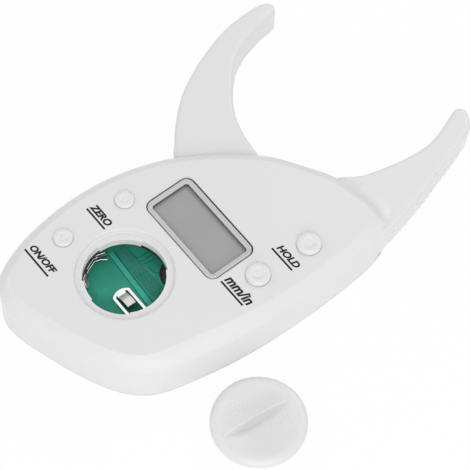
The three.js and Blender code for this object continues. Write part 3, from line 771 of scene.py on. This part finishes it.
# push buttons: a flange under the cover, a soft shoulder, a shallow dish and a small nub in its
# middle; lean shifts a button off the middle of its solid, and the shares are of its radius or of
# its rise
buttonShape = {
    "flange": 0.8, "flangeLow": 13.35, "flangeHigh": 13.95, "cover": 16.0, "fit": 0.03,
    "lean": Vector((-0.055, 0.043, 0)) * mm, "shoulder": 0.7, "shoulderSteps": 10,
    "dish": 0.64, "dishShare": 0.32, "dishSteps": (0.12, 0.25, 0.38, 0.5, 0.62, 0.75, 0.88, 1.0),
    "nub": 0.2, "nubFoot": 1.5, "nubHead": 0.5, "nubRise": 0.12, "nubCrown": 1.08,
    "nubSteps": (0.3, 0.6, 0.85, 1.0), "smooth": 50,
}


def buttonProfile(radius, rise):
    shape = buttonShape
    outer = radius + shape["fit"]
    dome = rise * shape["shoulder"]
    side = shape["cover"] + rise - dome
    rim = radius * shape["dish"]
    flange = outer + shape["flange"]
    points = [
        (flange, shape["flangeLow"]), (flange, shape["flangeHigh"]),
        (outer, shape["flangeHigh"]), (outer, side),
    ]
    for step in range(1, shape["shoulderSteps"] + 1):
        turn = math.pi / 2 * step / shape["shoulderSteps"]
        points.append((rim + (outer - rim) * math.cos(turn), side + dome * math.sin(turn)))
    nub = radius * shape["nub"]
    foot, head = nub * shape["nubFoot"], nub * shape["nubHead"]
    top = shape["cover"] + rise
    floor = top - rise * shape["dishShare"]
    for share in shape["dishSteps"]:
        points.append((rim + (foot - rim) * share, top - (top - floor) * eased(share)))
    for share in shape["nubSteps"]:
        points.append((foot + (nub - foot) * share, floor + shape["nubRise"] * eased(share)))
    points.append((head, floor + shape["nubRise"] * shape["nubCrown"]))
    return points


for key in ("on_off", "zero", "unit", "hold"):
    low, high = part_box("button_" + key)
    radius = (high.x - low.x) / 2 / mm - buttonShape["flange"]
    rise = high.z / mm - buttonShape["cover"]
    piece = turnedPiece((low + high) / 2 + buttonShape["lean"], buttonProfile(radius, rise))
    smooth(piece, buttonShape["smooth"])
    give(
        piece, "button_" + key + "_finish", buttonWhite, "key_" + key, "shell_white",
        "button_" + key,
    )
print("buttons ready")


# housing screws: flat heads with a cross recess, seen from below
crossRecess = {"length": 2.1, "width": 0.55, "depth": 0.5, "edge": 0.08, "from": 50}


def crossCutter(centre, bottom):
    size = Vector((crossRecess["length"], crossRecess["width"], 2 * crossRecess["depth"])) * mm
    bars = [bar((centre.x, centre.y, bottom), size, turn) for turn in (0, math.pi / 2)]
    applyModifier(bars[0], "BOOLEAN", operation="UNION", object=bars[1], solver="EXACT")
    bpy.data.objects.remove(bars[1])
    return bars[0]


def crossScrew(node):
    low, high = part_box(node)
    cutter = crossCutter((low + high) / 2, low.z)
    piece = mergedCopy(node)
    applyModifier(piece, "BOOLEAN", operation="DIFFERENCE", object=cutter, solver="EXACT")
    bpy.data.objects.remove(cutter)
    applyModifier(
        piece, "BEVEL", width=crossRecess["edge"] * mm, segments=2, limit_method="ANGLE",
        angle_limit=math.radians(crossRecess["from"]),
    )
    smooth(piece)
    return give(piece, node + "_finish", screwSteel, "housing", "screw_steel", node)


for number in range(1, 5):
    crossScrew(f"housing_screw_{number}")
print("screws ready")

# nodes that keep their solids and take a finish
nodeFinishes = {
    "display_panel": displayFilm,
    "main_board": boardMask,
    "scale_plate": boardMask,
    "chip_blob": blackResin,
    "zebra_strip_upper": zebraRubber,
    "zebra_strip_lower": zebraRubber,
    "pivot_screw": screwSteel,
    "pivot_washer": screwSteel,
}
for name in nodes:
    if name.startswith("board_screw"):
        nodeFinishes[name] = screwSteel
    elif name.startswith("plunger"):
        nodeFinishes[name] = blackResin
    elif name.startswith("switch"):
        nodeFinishes[name] = nickelPlate
for name, material in nodeFinishes.items():
    nodes[name].data.materials.clear()
    nodes[name].data.materials.append(material)

# battery cap: the half of its top beyond the finger ridge rises in a gentle ramp to the ridge's
# crest; the lid starts a hair beyond the crest and ends a hair past the rim
capShape = {
    "shift": 0.9, "reach": 9.85, "top": 5.15, "dishDepth": 1.9, "cells": (140, 100), "inset": 0.45,
    "start": 0.04, "past": 0.05, "least": 0.1, "skin": 0.2, "crest": 1.44, "run": 5.5, "steep": 1.6,
    "sag": 0.22,
}
capCentre = ridge["middle"] + Vector((capShape["shift"], 0))
lidRibs = {
    "count": 5, "first": -3.944, "pitch": 1.16, "rise": 0.1, "width": 0.26, "lean": 0.12,
    "from": 1.6, "to": 6.0, "clear": 1.0,
}


def lidHeight(along, away, span):
    shape, ribs = capShape, lidRibs
    crest = shape["crest"] * max(0.0, 1 - (along / shape["reach"]) ** 2)
    ramp = max(0.0, 1 - away / shape["run"]) ** shape["steep"]
    sag = shape["sag"] * math.sin(math.pi * min(1.0, away / span)) * (1 - ramp)
    height = shape["top"] + crest * ramp - sag
    if ribs["from"] < away < min(ribs["to"], span - ribs["clear"]):
        for number in range(ribs["count"]):
            offset = along + ribs["lean"] * away - ribs["first"] - number * ribs["pitch"]
            height += ribs["rise"] * math.exp(-((offset / ribs["width"]) ** 2))
    return height


def capLid():
    shape = capShape
    deselectAll()
    wide, deep = shape["cells"]
    bpy.ops.mesh.primitive_grid_add(x_subdivisions=wide, y_subdivisions=deep, size=2)
    piece = bpy.context.object
    for vertex in piece.data.vertices:
        along = vertex.co.x * (shape["reach"] - shape["inset"])
        span = math.sqrt(shape["reach"] ** 2 - along ** 2) - shape["shift"] + shape["past"]
        span = max(span, shape["least"])
        away = shape["start"] + (vertex.co.y + 1) / 2 * span
        place = ridge["middle"] + ridgeAlong * along - ridgeAcross * away
        vertex.co = Vector((*place, lidHeight(along, away, span))) * mm
    piece.data.update()
    if piece.data.polygons[0].normal.z < 0:
        piece.data.flip_normals()
    applyModifier(piece, "SOLIDIFY", thickness=shape["skin"] * mm, offset=-1)
    smooth(piece)
    return give(piece, "cap_lid", shellWhite, "cap", "shell_white")


# rods, wires and traces: a line of points with a round section
def tube(name, points, radius, ink, body, slot):
    deselectAll()
    data = bpy.data.curves.new(name, "CURVE")
    data.dimensions = "3D"
    data.bevel_depth = radius * mm
    data.bevel_resolution = 3
    data.use_fill_caps = True
    spline = data.splines.new("POLY")
    spline.points.add(len(points) - 1)
    for point, place in zip(spline.points, points):
        point.co = (*[value * mm for value in place], 1)
    piece = bpy.data.objects.new(name, data)
    bpy.context.scene.collection.objects.link(piece)
    pick(piece)
    bpy.ops.object.convert(target="MESH")
    piece = bpy.context.object
    smooth(piece)
    return give(piece, name, ink, body, slot)


# faint ribs in the near half of the cap's dish, each a rod sunk into the dish but for its back
nearRibs = {
    "count": 5, "first": 2.7, "from": 2.0, "to": 5.6, "steps": 8, "rod": 0.16, "sunk": 0.05,
}


def dishHeight(place):
    depth, reach = capShape["dishDepth"], capShape["reach"]
    ball = (reach ** 2 + depth ** 2) / (2 * depth)
    away = (place - capCentre).length
    return capShape["top"] - depth + ball - math.sqrt(ball ** 2 - away ** 2)


def nearRib(number):
    points = []
    for step in range(nearRibs["steps"] + 1):
        reach = nearRibs["from"] + (nearRibs["to"] - nearRibs["from"]) * step / nearRibs["steps"]
        start = nearRibs["first"] + number * lidRibs["pitch"] - lidRibs["lean"] * reach
        place = ridge["middle"] + ridgeAlong * start + ridgeAcross * reach
        points.append((*place, dishHeight(place) - nearRibs["sunk"]))
    tube(f"cap_rib_{number + 1}", points, nearRibs["rod"], shellWhite, "cap", "shell_white")


capLid()
for number in range(nearRibs["count"]):
    nearRib(number)
print("cap ready")

# a dark ring below the rim of the battery well: painted shade, a dark sheet where the rim's shade
# falls
rimShadeShape = {"inner": 10.2, "outer": 10.9, "low": 11.85, "high": 12.42, "sides": 96}


def rimShadeRing():
    inner, outer, low, high = (rimShadeShape[key] for key in ("inner", "outer", "low", "high"))
    profile = [(outer, low), (outer, high), (inner, high), (inner, low)]
    piece = turnedPiece(seat["centre"], profile, rimShadeShape["sides"])
    bpy.ops.object.mode_set(mode="EDIT")
    closeRing()
    bpy.ops.object.mode_set(mode="OBJECT")
    smooth(piece)
    return give(piece, "well_rim_shade", blackResin, "housing", "black_resin")


rimShadeRing()

# board details that show in the battery well: traces, printed marks and the clip's bright wires,
# then a hatched ground; a trace is pressed flat, to the same height as the hatching's lines
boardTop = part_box("main_board")[1].z
hatch = {
    "left": -11.2, "right": 6.3, "foot": -17.95, "head": -14.9, "pitch": 0.46, "line": 0.17,
    "rise": 0.03, "edge": 0.02,
}
traceShapes = {
    "trace_bus": {
        "points": [(-11.6, -18.85), (-3.0, -19.3), (5.8, -19.8)], "width": 1.45, "ink": traceMask,
    },
    "trace_edge": {
        "points": [(-11.0, -18.05), (-3.0, -18.5), (6.2, -19.0)], "width": 0.2, "ink": gapAndShadowMask,
    },
    "trace_rim": {
        "points": [(-11.8, -19.6), (-3.0, -20.1), (5.4, -20.7)], "width": 0.14, "ink": gapAndShadowMask,
    },
    "trace_elbow": {
        "points": [(-10.2, -15.1), (-6.2, -14.6), (-5.9, -10.6)], "width": 0.2, "ink": gapAndShadowMask,
    },
    "trace_inner": {
        "points": [(-9.6, -16.2), (-5.1, -15.2), (-4.9, -13.8), (-4.8, -10.4)],
        "width": 0.16, "ink": gapAndShadowMask,
    },
    "trace_short": {
        "points": [(-4.0, -14.4), (-3.6, -13.2), (-3.4, -10.9)], "width": 0.16, "ink": gapAndShadowMask,
    },
    "trace_bow": {
        "points": [(-3.3, -14.8), (-0.9, -14.6), (0.5, -13.9), (1.9, -13.8), (3.8, -14.3)],
        "width": 0.18, "ink": traceMask,
    },
    "trace_end": {
        "points": [(-2.4, -14.0), (-0.6, -13.7), (0.4, -12.9), (1.6, -12.7)],
        "width": 0.16, "ink": gapAndShadowMask,
    },
    "mark_hook": {
        "points": [(-5.3, -28.9), (-5.4, -28.1), (-4.7, -27.7), (-3.8, -28.3), (-2.8, -29.2)],
        "width": 0.14, "ink": markInk,
    },
    "mark_bar": {"points": [(-1.0, -28.9), (0.7, -28.2)], "width": 0.16, "ink": markInk},
}
markRings = {
    "mark_ring_1": (-3.75, -26.1, 0.55), "mark_ring_2": (-7.0, -26.3, 0.4),
    "mark_ring_3": (-2.4, -30.2, 0.45),
}
ringPrint = {"steps": 24, "drawn": 22, "width": 0.13}
clipWires = {
    "clip_wire_upper": [
        (-10.95, -21.0), (-11.5, -22.8), (-11.75, -24.3), (-11.15, -25.9), (-10.3, -27.4),
        (-9.6, -28.3),
    ],
    "clip_wire_middle": [(-10.95, -23.2), (-11.2, -24.3), (-10.6, -25.8), (-9.9, -27.2)],
    "clip_wire_lower": [
        (-9.0, -21.6), (-10.0, -22.9), (-10.5, -24.4), (-10.0, -25.8), (-9.5, -26.9), (-9.0, -27.8),
    ],
    "clip_wire_end": [(-9.0, -28.4), (-8.5, -29.3), (-7.4, -29.85), (-6.2, -30.2)],
}
wire = {"width": 0.2, "lift": 3.3}


def trace(name, points, width, ink, slot="board_green", flat=None, lift=0.0):
    piece = tube(name, [(x, y, 0) for x, y in points], width / 2, ink, "housing", slot)
    piece.scale.z = flat or 2 * hatch["rise"] / width
    piece.location.z = boardTop + lift * mm
    applyPlace(piece)
    return piece


for name, shape in traceShapes.items():
    trace(name, shape["points"], shape["width"], shape["ink"])
for name, (x, y, radius) in markRings.items():
    turns = [math.tau * step / ringPrint["steps"] for step in range(ringPrint["drawn"])]
    points = [(x + radius * math.cos(turn), y + radius * math.sin(turn)) for turn in turns]
    trace(name, points, ringPrint["width"], markInk)
for name, points in clipWires.items():
    trace(name, points, wire["width"], wireSteel, "bright_metal", flat=1, lift=wire["lift"])

# flat fields on the board: the ground under the hatching, and a painted shadow under the contact
# plate
boardFields = {
    "hatch_ground": {"box": (-11.3, 6.4, -18.05, -14.75), "rise": 0.012, "ink": groundBase},
    "contact_plate_shadow": {"box": (-0.6, 9.4, -25.9, -21.7), "rise": 0.02, "ink": gapAndShadowMask},
}
fieldEdge = 0.01


def boardField(name, shape):
    left, right, foot, head = (value * mm for value in shape["box"])
    middle = ((left + right) / 2, (foot + head) / 2, boardTop)
    piece = bar(middle, (right - left, head - foot, 2 * shape["rise"] * mm))
    applyModifier(piece, "BEVEL", width=fieldEdge * mm, segments=1)
    return give(piece, name, shape["ink"], "housing", "board_green")


def hatchLines(name, size, count, step):
    corner = Vector((hatch["left"] * mm, hatch["foot"] * mm, boardTop))
    middle = corner + Vector((*size, 0)) * mm / 2
    piece = bar(middle, Vector((*size, 2 * hatch["rise"])) * mm)
    applyModifier(
        piece, "ARRAY", count=count, use_relative_offset=False, use_constant_offset=True,
        constant_offset_displace=Vector((*step, 0)) * mm,
    )
    applyModifier(piece, "BEVEL", width=hatch["edge"] * mm, segments=1)
    return give(piece, name, groundMask, "housing", "board_green")


for name, shape in boardFields.items():
    boardField(name, shape)
pitch, line = hatch["pitch"], hatch["line"]
wide, deep = hatch["right"] - hatch["left"], hatch["head"] - hatch["foot"]
hatchLines("hatch_along", (wide, line), int(deep / pitch) + 1, (0, pitch))
hatchLines("hatch_across", (line, deep), int(wide / pitch) + 1, (pitch, 0))
print("board details ready")

# printed legends and their underlines: left, right, foot and head of the letters, then the line's
# left, right and height
legends = {
    "hold": {
        "text": "HOLD", "bold": 0.042,
        "letters": (15.9, 23.4, 11.2, 13.1), "line": (15.3, 23.1, 10.4),
    },
    "unit": {
        "text": "mm/in", "bold": 0.033,
        "letters": (14.95, 24.1, -4.3, -1.6), "line": (14.85, 23.2, -5.0),
    },
    "zero": {
        "text": "ZERO", "bold": 0.042,
        "letters": (-21.3, -14.05, -17.8, -15.8), "line": (-21.3, -14.0, -18.5),
    },
    "on_off": {
        "text": "ON/OFF", "bold": 0.042,
        "letters": (-21.15, -11.8, -36.2, -34.3), "line": (-21.45, -11.95, -37.15),
    },
}
legendPrint = {
    "slant": 0.26, "depth": 0.03 * mm, "extrude": 0.01, "curveSteps": 6, "line": 0.48 * mm,
    "edge": 0.01 * mm,
}


def legend(key, choice):
    deselectAll()
    bpy.ops.object.text_add(location=(0, 0, 0))
    piece = bpy.context.object
    piece.data.body = choice["text"]
    piece.data.shear = legendPrint["slant"]
    piece.data.offset = choice["bold"]
    piece.data.extrude = legendPrint["extrude"]
    piece.data.resolution_u = legendPrint["curveSteps"]
    pick(piece)
    bpy.ops.object.convert(target="MESH")
    piece = bpy.context.object
    corners = [vertex.co for vertex in piece.data.vertices]
    low = [min(corner[axis] for corner in corners) for axis in range(3)]
    high = [max(corner[axis] for corner in corners) for axis in range(3)]
    left, right, foot, head = (value * mm for value in choice["letters"])
    wide = (right - left) / (high[0] - low[0])
    tall = (head - foot) / (high[1] - low[1])
    thick = legendPrint["depth"] / (high[2] - low[2])
    piece.scale = (wide, tall, thick)
    piece.location = (left - low[0] * wide, foot - low[1] * tall, coverTop - low[2] * thick)
    applyPlace(piece)
    return give(piece, "legend_" + key, legendInk, "housing", "black_resin")


def underline(key, choice):
    left, right, height = (value * mm for value in choice["line"])
    depth = legendPrint["depth"]
    middle = ((left + right) / 2, height, coverTop + depth / 2)
    piece = bar(middle, (right - left, legendPrint["line"], depth))
    applyModifier(piece, "BEVEL", width=legendPrint["edge"], segments=2)
    return give(piece, "underline_" + key, legendInk, "housing", "black_resin")


for key, choice in legends.items():
    legend(key, choice)
    underline(key, choice)
print("legends ready")


# studio: a pale floor that the camera sees almost white but for the shadow, and even light
stage = {
    "floorSize": 3.0, "floorSunk": 0.05 * mm, "floorTone": 0.95, "floorRoughness": 0.9,
    "glow": 0.94, "sky": 0.54,
}
white = (1, 1, 1, 1)


def whiteForCamera(tree, plain, bright):
    path = addNode(tree, "ShaderNodeLightPath")
    seen = addNode(tree, "ShaderNodeMath", [
        (path.outputs["Is Camera Ray"], 0), (path.outputs["Is Glossy Ray"], 1),
    ], operation="ADD")
    seenThrough = addNode(tree, "ShaderNodeMath", [
        (seen.outputs[0], 0), (path.outputs["Is Transmission Ray"], 1),
    ], operation="ADD", use_clamp=True)
    return addNode(tree, "ShaderNodeMixShader", [
        (seenThrough.outputs[0], 0), (plain, 1), (bright, 2),
    ]).outputs[0]


def floorFinish():
    material, tree, shader = newMaterial("paleFloor")
    shader.inputs["Base Color"].default_value = (*[stage["floorTone"]] * 3, 1)
    shader.inputs["Roughness"].default_value = stage["floorRoughness"]
    shader.inputs["Specular IOR Level"].default_value = 0.0
    glow = addNode(tree, "ShaderNodeEmission", Color=white, Strength=1.0)
    lit = addNode(tree, "ShaderNodeMixShader", [(shader.outputs[0], 1), (glow.outputs[0], 2)])
    lit.inputs[0].default_value = stage["glow"]
    seen = whiteForCamera(tree, shader.outputs[0], lit.outputs[0])
    tree.links.new(seen, tree.nodes["Material Output"].inputs["Surface"])
    return material


deselectAll()
bpy.ops.mesh.primitive_plane_add(size=stage["floorSize"], location=(0, 0, -stage["floorSunk"]))
floor = bpy.context.object
floor.name = "studioFloor"
floor.data.materials.append(floorFinish())
applyPlace(floor)

world = bpy.data.worlds.new("studio")
bpy.context.scene.world = world
world.use_nodes = True
skyTree = world.node_tree
ambient = skyTree.nodes["Background"]
ambient.inputs["Color"].default_value = white
ambient.inputs["Strength"].default_value = stage["sky"]
whiteSky = addNode(skyTree, "ShaderNodeBackground", Color=white, Strength=1.0)
seenSky = whiteForCamera(skyTree, ambient.outputs[0], whiteSky.outputs[0])
skyTree.links.new(seenSky, skyTree.nodes["World Output"].inputs["Surface"])

lamps = {
    "frontLamp": {"place": (0.62, -0.40, 0.58), "power": 5.1, "size": 1.0},
    "backLamp": {"place": (-0.11, 0.52, 0.44), "power": 0.86, "size": 0.35},
    "leftLamp": {"place": (-1.05, -0.50, 0.62), "power": 2.4, "size": 0.7},
}
for name, choice in lamps.items():
    deselectAll()
    bpy.ops.object.light_add(type="AREA", location=choice["place"])
    lamp = bpy.context.object
    lamp.name = name
    lamp.data.size = choice["size"]
    lamp.data.energy = choice["power"]
    lamp.rotation_euler = (-lamp.location).to_track_quat("-Z", "Y").to_euler()

# the camera looks along the photograph's viewing angle at a point of the cover's top, and aims
# aside of it as the photograph is framed
eye = {
    "top": Vector((0, 0.3 * mm, 16 * mm)),
    "towards": Vector((0.38384, -0.29989, 0.87335)),
    "right": Vector((0.61566, 0.78801, 0)),
    "distance": 0.6,
    "pixelsPerMetre": 4086.0,
    "across": 8.443 * mm,
    "down": 1.909 * mm,
    "photoWidth": 470,
    "sensor": 36.0,
}
upward = eye["towards"].cross(eye["right"])
aim = eye["top"] + eye["right"] * eye["across"] - upward * eye["down"]
deselectAll()
bpy.ops.object.camera_add(location=eye["top"] + eye["towards"] * eye["distance"])
camera = bpy.context.object
camera.name = "photoCamera"
backward = (camera.location - aim).normalized()
level = (eye["right"] - backward * eye["right"].dot(backward)).normalized()
camera.rotation_euler = Matrix((level, backward.cross(level), backward)).transposed().to_euler()
camera.data.sensor_width = eye["sensor"]
camera.data.lens = eye["sensor"] * eye["distance"] * eye["pixelsPerMetre"] / eye["photoWidth"]
bpy.context.scene.camera = camera
bpy.context.scene.view_settings.view_transform = "Standard"
print("studio ready")
